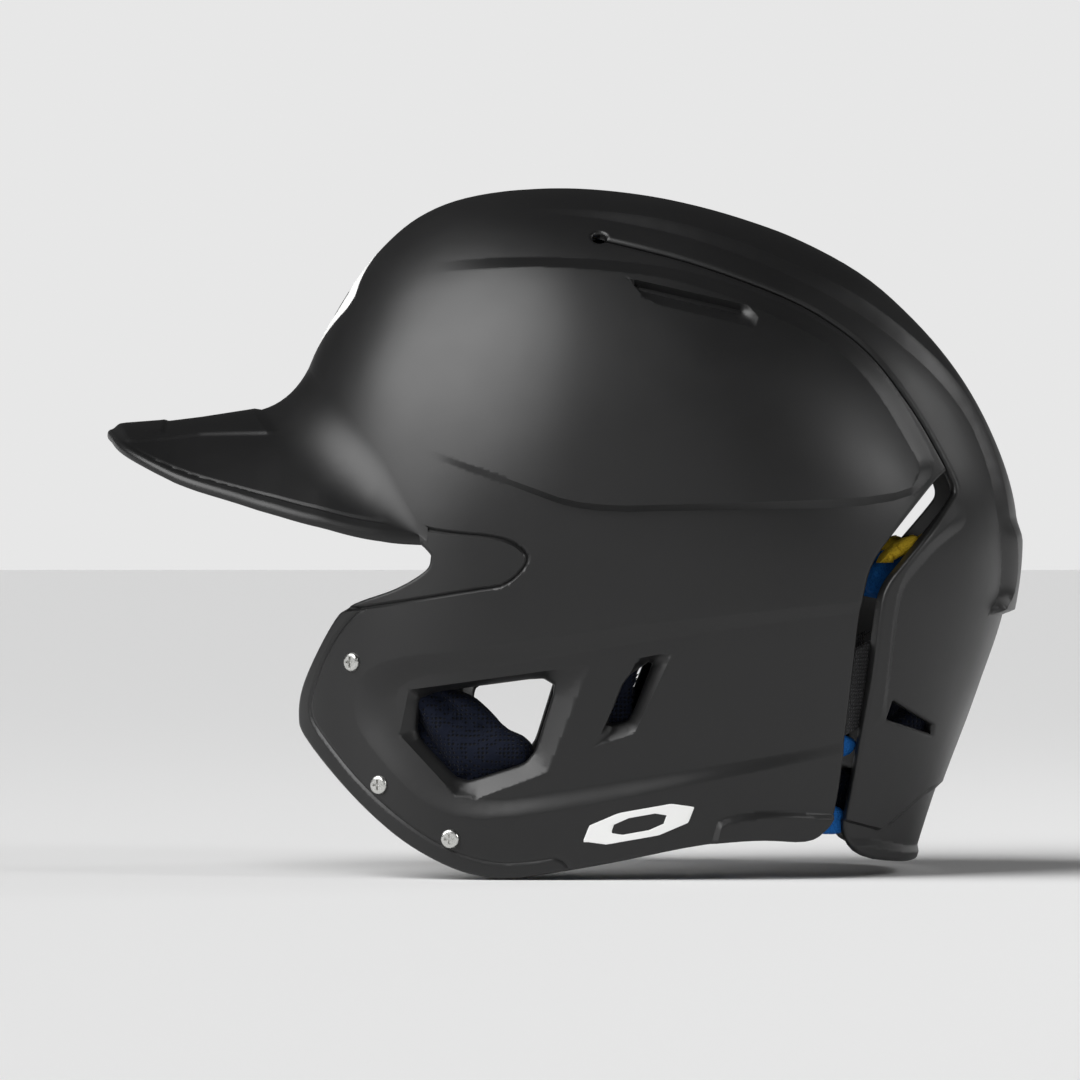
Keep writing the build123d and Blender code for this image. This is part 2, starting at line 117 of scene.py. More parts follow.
def skin_grid(step):
    """Vertices, as rows of point and outward direction, and triangles of the whole skin."""
    length = length_along(TABLE)
    rows = np.linspace(0, length[-1], int(length[-1] / step) + 1)[:-1]
    cols = 2 * int(GIRTH / 2 / step)
    turn = np.linspace(0, 2 * math.pi, cols, endpoint=False)
    z, front, back, width, power = [np.interp(rows, length, TABLE[:, j])[:, None] for j in range(5)]
    cos, sin = np.cos(turn)[None], np.sin(turn)[None]
    x = (front + back) / 2 + (back - front) / 2 * np.sign(cos) * np.abs(cos) ** (2 / power)
    y = width * np.sign(sin) * np.abs(sin) ** (2 / power)
    grid = np.stack([x, y, z + 0 * x], axis=2)
    du = np.roll(grid, -1, axis=1) - np.roll(grid, 1, axis=1)
    dv = np.gradient(grid, axis=0)
    out = np.cross(du, dv)
    out /= np.linalg.norm(out, axis=2, keepdims=True) + 1e-12
    top = np.array([[TABLE[-1, 1], 0, TABLE[-1, 0], 0, 0, 1]])
    verts = np.vstack([np.concatenate([grid, out], axis=2).reshape(-1, 6), top])
    n = len(rows)
    i, j = np.meshgrid(np.arange(n - 1), np.arange(cols), indexing="ij")
    a, b = i * cols + j, i * cols + (j + 1) % cols
    c, d = a + cols, b + cols
    even = ((i + j) % 2 == 0)[..., None]
    one = np.where(even, np.stack([a, b, d], -1), np.stack([a, b, c], -1)).reshape(-1, 3)
    two = np.where(even, np.stack([a, d, c], -1), np.stack([b, d, c], -1)).reshape(-1, 3)
    j = np.arange(cols)
    last = (n - 1) * cols
    cap = np.stack([last + j, last + (j + 1) % cols, np.full(cols, n * cols)], -1)
    return verts, np.vstack([one, two, cap])


# ---------------------------------------------------------------- outlines and fields
def rounded(points, times=3, closed=True, cut=0.25):
    """Outline with its corners cut off again and again, which rounds them."""
    p = np.array(points, float)
    for _ in range(times):
        q = np.roll(p, -1, axis=0) if closed else p[1:]
        a = p if closed else p[:-1]
        both = np.stack([a + (q - a) * cut, q - (q - a) * cut], axis=1).reshape(-1, 2)
        p = both if closed else np.vstack([p[:1], both[1:-1], p[-1:]])
    return p


def through(points, per=5):
    """Smooth open curve that passes through the points."""
    p = np.array(points, float)
    p = np.vstack([2 * p[0] - p[1], p, 2 * p[-1] - p[-2]])
    rows = [p[1:2]]
    for a, b, c, d in zip(p[:-3], p[1:-2], p[2:-1], p[3:]):
        t = np.linspace(0, 1, per + 1)[1:, None]
        rows.append(0.5 * (2 * b + (c - a) * t + (2 * a - 5 * b + 4 * c - d) * t**2
                           + (3 * b - a - 3 * c + d) * t**3))
    return np.vstack(rows)


def edge_distance(points, u, v):
    """Distance to the nearest edge of a closed outline."""
    best = np.full(len(u), 1e18)
    for (ax, ay), (bx, by) in zip(points, np.roll(points, -1, axis=0)):
        dx, dy = bx - ax, by - ay
        t = np.clip(((u - ax) * dx + (v - ay) * dy) / max(dx * dx + dy * dy, 1e-12), 0, 1)
        best = np.minimum(best, (u - ax - t * dx) ** 2 + (v - ay - t * dy) ** 2)
    return np.sqrt(best)


def region(points, u, v):
    """Signed distance to a closed outline, negative inside."""
    p = np.asarray(points, float)
    odd = np.zeros(len(u), bool)
    for (ax, ay), (bx, by) in zip(p, np.roll(p, -1, axis=0)):
        if ay != by:
            odd ^= ((ay > v) != (by > v)) & (u < (bx - ax) * (v - ay) / (by - ay) + ax)
    return np.where(odd, -1, 1) * edge_distance(p, u, v)


def on_side(side, verts, values):
    """Field that holds on one side of the helmet only, or on both where side is 0."""
    return np.where(verts[:, 1] * side < -1, FAR, values)


def smooth(t):
    t = np.clip(t, 0, 1)
    return t * t * (3 - 2 * t)


class Ramp:
    """Step between an outer outline, where it starts, and an inner one, where it is fully risen.
    The outlines are seen from the side, or from above for one half of the crown and its mirror image."""

    def __init__(self, outer, inner, height, soft=0.0, view="side", side=0, fade=None):
        self.outer, self.inner = outer, inner
        self.height, self.soft, self.view, self.side, self.fade = height, soft, view, side, fade

    def line_field(self, line, verts):
        if self.view == "top":
            return np.where(verts[:, 2] < CROWN_Z, FAR, region(line, verts[:, 0], np.abs(verts[:, 1])))
        return region(line, verts[:, 0], verts[:, 2])

    def apart(self, verts):
        return [on_side(self.side, verts, self.line_field(line, verts)) for line in (self.outer, self.inner)]

    def rise(self, verts):
        out, inn = self.apart(verts)
        up, down = np.maximum(-out, 0), np.maximum(inn, 0)
        t = np.where(out >= 0, 0, up / np.maximum(up + down, 1e-9))
        t = t * (1 - self.soft) + smooth(t) * self.soft
        return self.height * t * (1 if self.fade is None else self.fade(verts))


# ---------------------------------------------------------------- cutting meshes along fields
def between(a, b, t):
    """Points part of the way along edges, raised to follow the skin's curve."""
    row = a * (1 - t) + b * t
    sag = ((b[:, :3] - a[:, :3]) * (b[:, 3:6] - a[:, 3:6])).sum(1, keepdims=True)
    row[:, :3] += row[:, 3:6] * sag * t * (1 - t) / 2
    return row


def refine(verts, tris, near):
    """Cut in two the edges that near() picks, and the triangles with them."""
    pairs = np.sort(np.stack([tris, np.roll(tris, -1, axis=1)], -1), axis=2).reshape(-1, 2)
    keys, where = np.unique(pairs, axis=0, return_inverse=True)
    picked = near(verts)
    mark = picked[keys[:, 0]] | picked[keys[:, 1]]
    new = np.full(len(keys), -1)
    new[mark] = len(verts) + np.arange(mark.sum())
    a, b = verts[keys[mark, 0]], verts[keys[mark, 1]]
    e = new[where.reshape(-1)].reshape(-1, 3)
    count = (e >= 0).sum(1)
    parts = [tris[count == 0]]
    t, m = tris[count == 3], e[count == 3]
    parts += [np.stack([t[:, 0], m[:, 0], m[:, 2]], 1), np.stack([m[:, 0], t[:, 1], m[:, 1]], 1),
              np.stack([m[:, 2], m[:, 1], t[:, 2]], 1), m]
    for wanted in (1, 2):
        t, m = tris[count == wanted], e[count == wanted]
        odd = np.argmax(m >= 0, 1) if wanted == 1 else np.argmax(m < 0, 1)
        order = (odd[:, None] + np.arange(3)) % 3
        t, m = np.take_along_axis(t, order, 1), np.take_along_axis(m, order, 1)
        if wanted == 1:
            parts += [np.stack([t[:, 0], m[:, 0], t[:, 2]], 1), np.stack([m[:, 0], t[:, 1], t[:, 2]], 1)]
        else:
            parts += [np.stack([t[:, 0], t[:, 1], m[:, 1]], 1), np.stack([t[:, 0], m[:, 1], m[:, 2]], 1),
                      np.stack([m[:, 2], m[:, 1], t[:, 2]], 1)]
    return np.vstack([verts, between(a, b, 0.5)]), np.vstack(parts)


def split(verts, tris, values, level):
    """Cut every triangle that the level line crosses, so that an edge runs along it."""
    v = values - level
    v = np.where(np.abs(v) < 1e-3, 0, v)
    sign = np.sign(v)[tris]
    cross = (sign.min(1) < 0) & (sign.max(1) > 0)
    if not cross.any():
        return verts, tris, values
    keep, cut, sign = tris[~cross], tris[cross], sign[cross]
    # each cut triangle is turned so that it starts at its corner on the line, or at the one alone on its side
    zero = (sign == 0).any(1)
    alone = sign * np.sign(sign.sum(1))[:, None] < 0
    first = np.where(zero, np.argmax(sign == 0, axis=1), np.argmax(alone, axis=1))
    cut = np.take_along_axis(cut, (first[:, None] + np.arange(3)) % 3, 1)
    pairs = np.vstack([cut[~zero][:, [0, 1]], cut[~zero][:, [0, 2]], cut[zero][:, [1, 2]]])
    keys, where = np.unique(np.sort(pairs, axis=1), axis=0, return_inverse=True)
    a, b = keys[:, 0], keys[:, 1]
    fresh = between(verts[a], verts[b], (v[a] / (v[a] - v[b]))[:, None])
    new = len(verts) + where.reshape(-1)
    n = (~zero).sum()
    e1, e2, e3 = new[:n], new[n:2 * n], new[2 * n:]
    p, q, r = cut[~zero].T
    s, m, o = cut[zero].T
    corners = [(p, e1, e2), (e1, q, r), (e1, r, e2), (s, m, e3), (s, e3, o)]
    tris = np.vstack([keep] + [np.stack(three, 1) for three in corners])
    return np.vstack([verts, fresh]), tris, np.concatenate([values, np.full(len(keys), float(level))])


def split_field(verts, tris, field, levels):
    values = field(verts)
    for level in levels:
        verts, tris, values = split(verts, tris, values, level)
    return verts, tris


def compact(verts, tris):
    """Mesh without the vertices that no triangle uses."""
    used, back = np.unique(tris, return_inverse=True)
    return verts[used], back.reshape(-1, 3)


def rounding(inside_by, radius):
    """How far a rounded edge lies under the flat surface, by distance in from the edge."""
    short = np.clip(radius - inside_by, 0, radius)
    return radius - np.sqrt(np.maximum(radius**2 - short**2, 0))


CUT_MARGIN = 6.0                        # width of skin kept round a shape while it is cut
ROUND_STEPS = (0, 0.08, 0.3, 0.62, 1)   # rows of edges across a rounded edge, as shares of its radius
SUNK_SHARE = 0.8                        # share of a sunk feature that shows on the inner face


def cut_out(grid, field, radius, features, seam):
    """The skin inside the field, with edges along the features' lines and the rounded edge's rows."""
    verts, tris = grid
    verts, tris = compact(verts, tris[(field(verts) < CUT_MARGIN)[tris].any(1)])
    for feature in features:
        for line in (0, 1):
            verts, tris = split_field(verts, tris, lambda w: feature.apart(w)[line], [0])
    verts, tris = split_field(verts, tris, field, [-radius * share for share in ROUND_STEPS])
    if seam is not None:
        verts, tris = split_field(verts, tris, seam, [0])
    middle = verts[tris].mean(1)
    inside = field(middle) < 0
    if seam is not None:
        inside &= seam(middle) < 0
    return compact(verts, tris[inside])


def solid_layer(grid, field, near, far, radius, features=(), seam=None):
    """Closed piece cut from the skin. Near and far give the depth of its two faces under the skin, and
    radius rounds its edges. A seam field, zero along a butt joint, keeps that edge square.
    Gives the points, triangles and rim quads, which points are on the seam, and their outward directions."""
    verts, tris = cut_out(grid, field, radius, features, seam)
    ease = rounding(np.maximum(-field(verts), 0), radius)
    out = verts[:, 3:6] / np.linalg.norm(verts[:, 3:6], axis=1, keepdims=True)
    lift = sum((feature.rise(verts) for feature in features), np.zeros(len(verts)))
    outer = verts[:, :3] + out * (lift - near(verts) - ease)[:, None]
    sunk = np.minimum(lift, 0) * SUNK_SHARE
    inner = verts[:, :3] + out * (sunk - far(verts) + ease)[:, None]
    n = len(verts)
    edges = np.vstack([tris[:, [0, 1]], tris[:, [1, 2]], tris[:, [2, 0]]])
    _, index, count = np.unique(np.sort(edges, axis=1), axis=0, return_index=True, return_counts=True)
    rim = edges[index[count == 1]]
    quads = np.stack([rim[:, 1], rim[:, 0], rim[:, 0] + n, rim[:, 1] + n], 1)
    on_seam = np.zeros(n, bool) if seam is None else np.abs(seam(verts)) < 0.02
    return np.vstack([outer, inner]), np.vstack([tris, tris[:, ::-1] + n]), quads, on_seam, out


def make_piece(name, node, points, faces, sharp, material):
    """Object of the piece that stands for a CAD node; edges over the sharp angle, in degrees, stay sharp."""
    mesh = bpy.data.meshes.new(name)
    mesh.from_pydata((np.asarray(points) * MM).tolist(), [], [list(face) for face in faces])
    mesh.validate()
    mesh.polygons.foreach_set("use_smooth", [True] * len(mesh.polygons))
    mesh.set_sharp_from_angle(angle=math.radians(sharp))
    mesh.materials.append(material)
    obj = bpy.data.objects.new(name, mesh)
    bpy.context.scene.collection.objects.link(obj)
    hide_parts(node)
    return obj


# ---------------------------------------------------------------- shell outlines, side view (x, z) in mm
SEAM_X = 12.0
SLIT = [(SEAM_X, 208.4), (15.7, 207.7), (44.4, 200.3), (77.1, 187.9), (93.5, 177.4), (103.3, 168.3),
        (116.3, 150.2), (126, 132.6)]
SLIT_FINE = rounded(SLIT, 2, closed=False)
SLIT_BELOW = [(x - 0.3, z - 0.7) for x, z in SLIT]
FRONT_BACK_EDGE = [(125.2, 132.2), (120.8, 128.3), (110.6, 115.9), (99.6, 101.9), (96.3, 86.7), (93.2, 57.5),
                   (89.5, 28.3), (87.4, 17.6), (80, 11.1)]
HEM = [(63.3, 12.3), (43.8, 10.8), (11.5, 4.1)]
JAW_EDGE = [(-14.4, 0.0), (-24.1, 0.1), (-37, 3.3), (-53.3, 12.2), (-69.7, 26.5), (-84.8, 44),
            (-87.6, 52), (-85.5, 63.6), (-76.4, 81.7), (-69.7, 88.3), (-54.9, 93.8), (-45.2, 99.7),
            (-43.5, 104.5)]
SHORT_EDGE = [(-8, 2.6), (-24, 8), (-36, 22), (-44, 42), (-48, 66), (-49, 84), (-48, 94), (-44, 101)]
BROW_EDGE = [(-46.8, 108), (-60, 116), (-77, 131), (-88, 146), (-120, 151)]
REAR_FRONT_EDGE = [(128.7, 126.4), (126.9, 122.5), (110.6, 102.9), (103.6, 94.8), (101.6, 86.7),
                   (98.5, 57.5), (93.8, 28.2), (91.2, 15.6), (95.7, 5.8), (112, 3.2), (117.5, 3.4), (160, 4)]


def front_outline(lower_front):
    back = [(-120, 200), (6, 205), *SLIT_BELOW, *FRONT_BACK_EDGE, *HEM]
    return rounded([*back, *through(lower_front), *BROW_EDGE], 2, cut=0.2)


CROWN_PATCH = [(-120, 260), (SEAM_X + 8, 260), (SEAM_X + 8, 208.2), (SEAM_X, 209.4), (4, 190), (-120, 190)]
FRONT_OUTLINES = {LEFT: front_outline(JAW_EDGE), RIGHT: front_outline(SHORT_EDGE)}
REAR_OUTLINE = rounded([(2, 260), (2, 210), *SLIT, *REAR_FRONT_EDGE, (160, 260)], 2)

EAR_OUTER = {LEFT: [(-54.5, 46.2), (-51.5, 60.8), (8.2, 69.0), (-5.6, 34.0), (-28.9, 25.6), (-36, 26.8)],
             RIGHT: [(-36.5, 44.2), (-35.5, 61.8), (8.2, 69.0), (-5.6, 34.0), (-23.5, 27), (-29.5, 28.5)]}
EAR_INNER = {LEFT: [(-51, 46.2), (-49.4, 59.5), (-2.4, 65.2), (-11.1, 37.7), (-32.2, 31.2), (-37, 32.4)],
             RIGHT: [(-33, 44.2), (-32, 60), (-2.4, 65.2), (-11.1, 37.7), (-26, 33), (-29, 34)]}
SLOT_OUTER = [(23.6, 71.0), (35.2, 73.2), (22.6, 46.6), (9.6, 42.4)]
SLOT_INNER = [(19.5, 64.2), (29.2, 70.7), (21.1, 50.7), (13.7, 49.4)]
WINDOW = [(107.1, 57), (120.6, 48.7), (120.4, 45.8), (105.1, 51.0)]
RELIEF_HOLE = (SEAM_X - 0.4, 51.0, 2.4)     # x and distance from the middle of each slit's end, and radius


def relief_field(verts):
    """Positive inside the holes that end the slits."""
    x, y, radius = RELIEF_HOLE
    apart = radius - np.hypot(verts[:, 0] - x, np.abs(verts[:, 1]) - y)
    return np.where(verts[:, 2] > CROWN_Z, apart, -FAR)


def two_sides(verts, shape):
    """Value of a field that takes a different outline on each side."""
    u, v = verts[:, 0], verts[:, 2]
    return np.where(verts[:, 1] < 0, shape(LEFT, u, v), shape(RIGHT, u, v))


EAR_CUT = {side: rounded(points, 2, cut=0.12) for side, points in EAR_INNER.items()}
SLOT_CUT = rounded(SLOT_INNER, 2, cut=0.12)


def front_field(verts):
    u, v = verts[:, 0], verts[:, 2]
    body = two_sides(verts, lambda side, x, z: region(FRONT_OUTLINES[side], x, z))
    body = np.minimum(body, region(CROWN_PATCH, u, v))
    ear = two_sides(verts, lambda side, x, z: -region(EAR_CUT[side], x, z))
    holes = np.maximum(ear, -region(SLOT_CUT, u, v))
    return np.maximum(np.maximum(body, holes), relief_field(verts))


def front_seam(verts):
    """Zero where the crown is cut across between the two slits."""
    slit = np.interp(verts[:, 0], SLIT_FINE[:, 0], SLIT_FINE[:, 1])
    return np.minimum(verts[:, 0] - SEAM_X, verts[:, 2] - slit)


def rear_field(verts):
    u, v = verts[:, 0], verts[:, 2]
    body = np.maximum(region(REAR_OUTLINE, u, v), -region(WINDOW, u, v))
    return np.maximum(body, relief_field(verts))


def rear_seam(verts):
    return SEAM_X - verts[:, 0]


# ---------------------------------------------------------------- raised and sunk features
class Groove:
    """Narrow V groove along a closed outline."""

    def __init__(self, line, half, depth, side=0):
        self.line, self.half, self.depth, self.side = line, half, depth, side

    def apart(self, verts):
        away = on_side(self.side, verts, region(self.line, verts[:, 0], verts[:, 2]))
        return away, np.abs(away) - self.half

    def rise(self, verts):
        return -self.depth * np.clip(1 - np.abs(self.apart(verts)[0]) / self.half, 0, 1)


PANEL_OUT = rounded([
    (-62, 199), (-40.7, 200.6), (-24.3, 201.9), (11.7, 201.5), (44.3, 196.9), (77, 184.5), (93.4, 174.8),
    (106.4, 161.7), (117.7, 142), (122.4, 131.5), (108.3, 120.0), (43.7, 119.0), (6, 118.2), (-14.4, 125.9),
    (-31.2, 132.1), (-62, 142)], 2)
PANEL_IN = rounded([
    (-62, 195), (-27.6, 198.4), (24.7, 194.8), (44.2, 190.2), (63.8, 182.7), (86.6, 171.3), (99.6, 158.3),
    (110.9, 138.7), (115.2, 131.2), (109.2, 122.8), (43.7, 120.7), (6.3, 119.9), (-13.6, 127.3),
    (-30.6, 133.5), (-62, 146)], 2)
SPINE_LINE = [(-11.9, 217.4), (11.8, 215.3), (45.6, 207.9), (77.4, 194.7), (103.8, 180.1), (130.7, 155.6),
              (140.4, 132.5), (143.6, 110), (144.2, 100), (143.2, 91), (139, 84.7)]
SPINE_TOP = [(-11.9, 219.0), (11.8, 217.3), (45.6, 210.6), (77.4, 198.2), (104.6, 183.6), (132.4, 158.0),
             (142.8, 133.2), (146.1, 110), (146.6, 100), (145.4, 92), (142, 87.2)]
SPINE_OUT = np.vstack([[(-11.9, 260)], rounded(SPINE_LINE, 2, closed=False), [(170, 84.7), (170, 260)]])
SPINE_IN = np.vstack([[(-11.9, 260)], rounded(SPINE_TOP, 2, closed=False), [(170, 87.2), (170, 260)]])
TEAR_OUT = rounded([(-9, 0), (4, 6), (28, 13.4), (50, 14), (68, 12), (78, 0), (50, -14), (4, -6)], 2)
TEAR_IN = rounded([(-3, 0), (6, 5), (28, 12), (50, 12.6), (66, 10.6), (75, 0), (50, -12), (6, -5)], 2)
VENT_OUT = [(20.4, 193.1), (58.9, 184.3), (62.7, 180.4), (61.4, 177), (31.1, 184.2), (25.6, 186.8)]
VENT_IN = [(22.2, 192.2), (57.4, 184.1), (57.9, 183.0), (56.6, 182.8), (28.5, 189.4), (25.4, 190.3)]
POCKET_BACK_OUT = [(-27.3, 74.4), (5, 79.3), (48, 84.7), (76.1, 87.6), (112, 91), (112, 44), (76.2, 37.1),
                   (42.7, 30.8), (0.7, 22.2)]
POCKET_BACK_IN = [(-27.3, 67.4), (5, 72.8), (48, 79.8), (76.1, 83.6), (112, 87), (112, 48), (76.2, 41),
                  (42.7, 35), (-2.5, 27.8)]
POCKET_OUT = {
    LEFT: [(-66, 70.2), *POCKET_BACK_OUT, (-30.6, 18.0), (-45.7, 23.6), (-59.8, 38), (-69.8, 51.5)],
    RIGHT: [(-44, 72.2), *POCKET_BACK_OUT, (-17, 18.6), (-30, 27), (-41, 44)]}
POCKET_IN = {
    LEFT: [(-56.6, 64.4), *POCKET_BACK_IN, (-23, 24.8), (-36, 28.5), (-45.7, 36), (-54.9, 48)],
    RIGHT: [(-38.5, 65.8), *POCKET_BACK_IN, (-14, 25), (-25.5, 31), (-37, 46)]}
LIP_LINE = [(-96, 122), (-73.1, 118.1), (-49, 113.9), (-38.1, 111.8), (-19.9, 110.4), (-12.0, 105.6),
            (-12.4, 101), (-19.2, 94.6), (-27.3, 93.6), (-48.9, 90), (-66, 87.4), (-96, 84)]
LIP_LINE_RIGHT = [(-96, 122), (-73.1, 118.1), (-49, 113.9), (-38.1, 111.8), (-26, 110.4), (-19, 105),
                  (-22, 100), (-32, 96), (-43.5, 95), (-96, 94)]
FLANGE_EDGE = [(-63.5, 87.8), (-68.6, 85.8), (-77.4, 74.2), (-83.2, 58), (-83.0, 52), (-80.2, 46.6),
               (-66.6, 30.2), (-51.4, 17.2), (-37, 8.6), (-24.1, 5.0), (-14, 4.8), (3, 7.6), (3, -20),
               (-130, -20), (-130, 88)]
REAR_STEP_OUT = [(134, 116), (122.3, 107.8), (115.6, 100.5), (110.2, 94.4), (108.3, 86.7), (106.1, 68.8),
                 (103.4, 40), (60, 40), (60, 130), (125, 130)]
REAR_STEP_IN = [(130, 119), (118.9, 109.4), (112.2, 102.4), (107.8, 95.6), (106.0, 86.7), (104.1, 68.8),
                (101.8, 43), (60, 43), (60, 127), (122, 127)]
TAIL_OUT = [(84, 20.9), (103.8, 15.2), (108, 18.4), (115, 24.2), (120.3, 28), (126, 29.5), (160, 31),
            (160, -20), (84, -20)]
TAIL_IN = [(84, 19.9), (103.6, 14.2), (108.4, 16.4), (116, 22.4), (120.6, 25.6), (126, 27), (160, 28),
           (160, -20), (84, -20)]
TAIL_BAND_OUT = [(84, 13.5), (99.7, 12), (113.7, 8.6), (118, 8), (160, 8), (160, -20), (84, -20)]
TAIL_BAND_IN = [(84, 10.5), (99.7, 9.4), (113.7, 6.4), (118, 6), (160, 6), (160, -20), (84, -20)]
HEM_LIP_OUT = [(47.4, 17.8), (55.7, 20.6), (66.5, 21.7), (76.3, 21.4), (98, 19.6), (98, -10), (47.4, -10)]
HEM_LIP_IN = [(48.8, 16.0), (55.7, 18.6), (66.5, 19.8), (76.3, 19.6), (98, 18), (98, -10), (48.8, -10)]


def spine_fade(verts):
    """The spine rises out of the crown, and stands proudest at its lower end."""
    start = smooth((verts[:, 0] + 14) / 50)
    knob = smooth((117 - verts[:, 2]) / 8) * (verts[:, 0] > 60)
    return start * (1 + 0.85 * knob)


def panel_fade(verts):
    return smooth((verts[:, 0] + 46) / 50)


def pocket_fade(verts):
    return 1 - 0.7 * smooth((verts[:, 0] - 30) / 60)


def rear_step_fade(verts):
    return smooth((verts[:, 2] - 42) / 30) * smooth((122 - verts[:, 2]) / 14)


def pocket(side):
    outer, inner = rounded(POCKET_OUT[side], 2), rounded(POCKET_IN[side], 2)
    return Ramp(outer, inner, -2.3, 0.5, side=side, fade=pocket_fade)


SPINE = Ramp(SPINE_OUT, SPINE_IN, 2.0, 0.15, fade=spine_fade)
TEAR = Ramp(TEAR_OUT, TEAR_IN, -0.7, view="top")
FRONT_FEATURES = [
    Ramp(PANEL_OUT, PANEL_IN, 2.7, 0.15, fade=panel_fade),
    SPINE,
    TEAR,
    Ramp(VENT_OUT, VENT_IN, -2.6),
    pocket(LEFT),
    pocket(RIGHT),
    Ramp(EAR_OUTER[LEFT], EAR_CUT[LEFT], -4.0, side=LEFT),
    Ramp(EAR_OUTER[RIGHT], EAR_CUT[RIGHT], -4.0, side=RIGHT),
    Ramp(SLOT_OUTER, SLOT_CUT, -4.6),
    Groove(rounded(LIP_LINE, 2), 0.9, 0.8, side=LEFT),
    Groove(rounded(LIP_LINE_RIGHT, 2), 0.9, 0.8, side=RIGHT),
    Groove(rounded(FLANGE_EDGE, 2), 0.8, 0.45, side=LEFT),
    Ramp(rounded(HEM_LIP_OUT, 1), rounded(HEM_LIP_IN, 1), 1.4)]
REAR_FEATURES = [
    SPINE,
    TEAR,
    Ramp(rounded(REAR_STEP_OUT, 2), rounded(REAR_STEP_IN, 2), 1.8, 0.15, fade=rear_step_fade),
    Ramp(TAIL_OUT, TAIL_IN, -1.5),
    Ramp(TAIL_BAND_OUT, TAIL_BAND_IN, 1.0)]


# ---------------------------------------------------------------- bill
BILL_CENTRE = 10.0          # x of the point that the bill's profiles fan out from
BILL_END = 57.5             # degrees to each side
BILL_PROFILES = 321
BILL_THICK = 3.1
BILL_SOCKET = 2.4           # how far the bill's root reaches into the shell's wall
TOP_RADIUS = 1.3            # of the rim's upper edge
UNDER_RADIUS = 1.0          # of the rim's lower edge
STRIP_RISE = 0.9
CAP_RISE = 0.65
BAND_DEPTH = 0.5
# x and height of the top along the middle, x and droop (per mm squared from the middle), and
# degrees from the middle and distance of the rim
BILL_TOP = np.array([(-160, 145.2), (-152.5, 146.0), (-146, 147.0), (-134.3, 147.9), (-120.6, 149.6),
                     (-100, 152.8), (-93, 154.2), (-80, 156.4), (-60, 158.6), (-45, 159.6), (-20, 160)])
BILL_DROOP = np.array([(-152, 0.0036), (-144.7, 0.0038), (-128, 0.0046), (-104.7, 0.00517), (-77, 0.0058),
                       (-60, 0.00635), (-45, 0.0069)])
BILL_RIM = np.array([(0, 162.0), (8, 161.6), (16.2, 160.4), (23.9, 151.5), (32.8, 136.9), (44, 121.0),
                     (50.7, 110.7), (56.8, 100.6), (60, 96.3)])


def bill_height(x, y):
    return (np.interp(x, BILL_TOP[:, 0], BILL_TOP[:, 1])
            - np.interp(x, BILL_DROOP[:, 0], BILL_DROOP[:, 1]) * y * y)


def bill_relief(x, y, in_from_rim, away):
    """Raised strip along the bill's middle, raised cap at its tip, and the line above its edge band."""
    half = np.interp(x, (-141, -120, -87), (39.0, 36.0, 45.0))
    strip = STRIP_RISE * smooth((half - y) / 1.6) * smooth((-74 - x) / 26)
    cap = CAP_RISE * smooth((-131.5 - x) / 1.6) * smooth((34 - y) / 6)
    line = np.interp(away, (0, 14, 26, 56), (2.4, 2.6, 4.0, 4.6))
    groove = BAND_DEPTH * np.clip(1 - abs(in_from_rim - line) / 0.9, 0, 1) * smooth((away - 12) / 10)
    return (strip + cap) * smooth((in_from_rim - 1.3) / 3.0) - groove


def spline_row(knots, at):
    """Value at a place on the smooth curve through (place, value) knots."""
    x, y = knots[:, 0], knots[:, 1]
    slope = np.gradient(y, x)
    k = int(np.clip(np.searchsorted(x, at) - 1, 0, len(x) - 2))
    h = x[k + 1] - x[k]
    return hermite((at - x[k]) / h, h, y[k], y[k + 1], slope[k], slope[k + 1])


def ray_radius(angle, z):
    """Distance from the fan point to the skin along a plan direction, at a height."""
    front, back, width, power = section(z)
    low, high = 20.0, 180.0
    for _ in range(40):
        r = (low + high) / 2
        x, y = BILL_CENTRE - r * math.cos(angle), r * math.sin(angle)
        u = abs((x - (front + back) / 2) / ((back - front) / 2)) ** power + abs(y / width) ** power
        low, high = (r, high) if u < 1 else (low, r)
    return (low + high) / 2


